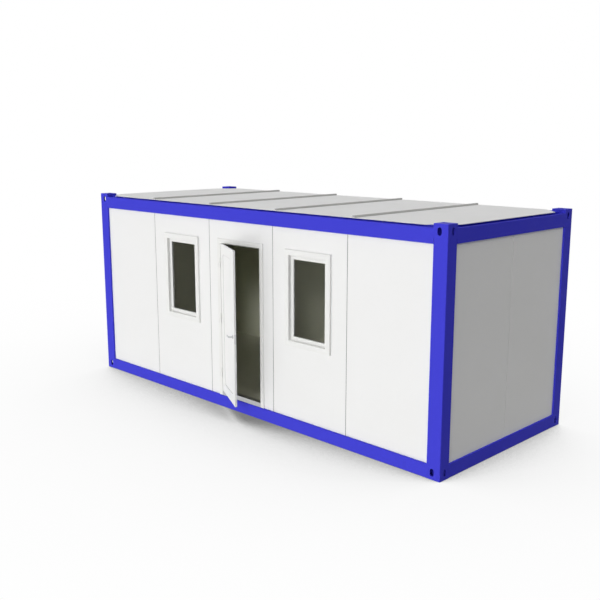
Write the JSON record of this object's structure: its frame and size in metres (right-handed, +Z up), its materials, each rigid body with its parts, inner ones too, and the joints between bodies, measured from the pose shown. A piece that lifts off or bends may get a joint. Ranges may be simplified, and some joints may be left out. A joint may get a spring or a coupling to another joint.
{
  "type": "portable site cabin",
  "caption": "Flat-roofed portable site cabin: folded steel frame with slotted corner blocks, sandwich wall panels, glazed windows and an outward-opening hinged door.",
  "frame": {"origin": "centre of the base, at the level of the corner blocks' undersides, midway between the four corner blocks", "axes": "+X along the length, to the right when facing the door; +Y through to the back wall; +Z up"},
  "size_m": [6.055, 2.7838, 2.591],
  "materials": {
    "frame_paint": "satin blue enamel",
    "panel_skin": "coil-coated white, satin",
    "roof_skin": "light grey coil coating",
    "seam_cap": "grey coil coating",
    "zinc_steel": "galvanised",
    "floor_covering": "matt sheet vinyl",
    "ceiling_skin": "satin white",
    "window_plastic": "white extruded plastic",
    "window_glass": "clear double glazing",
    "door_frame_paint": "satin white",
    "door_skin": "satin white",
    "threshold_metal": "mill finish",
    "hinge_paint": "satin white, painted with the door",
    "handle_metal": "satin anodised"
  },
  "bodies": {
    "cabin": {"corner_post_front_left": "frame_paint", "corner_post_front_right": "frame_paint", "corner_post_back_left": "frame_paint", "corner_post_back_right": "frame_paint", "bottom_corner_blocks": "frame_paint", "top_corner_blocks": "frame_paint", "bottom_rail_front": "frame_paint", "bottom_rail_back": "frame_paint", "bottom_rail_left": "frame_paint", "bottom_rail_right": "frame_paint", "top_rail_front": "frame_paint", "top_rail_back": "frame_paint", "top_rail_left": "frame_paint", "top_rail_right": "frame_paint", "floor_joists": "zinc_steel", "underfloor_sheet": "zinc_steel", "roof_purlins": "zinc_steel", "floor_deck": "floor_covering", "ceiling_lining": "ceiling_skin", "roof_sheets": "roof_skin", "roof_seam_caps": "seam_cap", "front_panel_left": "panel_skin", "front_panel_window_left": "panel_skin", "front_panel_door_left": "panel_skin", "front_panel_door_over": "panel_skin", "front_panel_door_right": "panel_skin", "front_panel_window_right": "panel_skin", "front_panel_right": "panel_skin", "back_wall_panels": "panel_skin", "left_wall_panels": "panel_skin", "right_wall_panels": "panel_skin", "window_left_frame": "window_plastic", "window_left_sash": "window_plastic", "window_left_glass": "window_glass", "window_right_frame": "window_plastic", "window_right_sash": "window_plastic", "window_right_glass": "window_glass", "door_frame": "door_frame_paint", "door_threshold": "threshold_metal", "frame_hinges": "hinge_paint"},
    "door": {"door_leaf": "door_skin", "leaf_hinges": "hinge_paint", "handle_rose": "handle_metal"},
    "handle": {"door_handle": "handle_metal"}
  },
  "joints": [
    {"name": "door_swing", "type": "hinge", "parent": "cabin", "child": "door", "pos_m": [-0.3555, -1.2175, 1.157], "axis": [0, 0, -1], "range_deg": [-28, 137]},
    {"name": "handle_turn", "type": "hinge", "parent": "door", "child": "handle", "pos_m": [0.21737, -1.51078, 1.066], "axis": [-0.4695, -0.8829, 0], "range_deg": [0, 40], "stiffness_Nm_per_rad": 2, "springref_deg": -28.65}
  ]
}
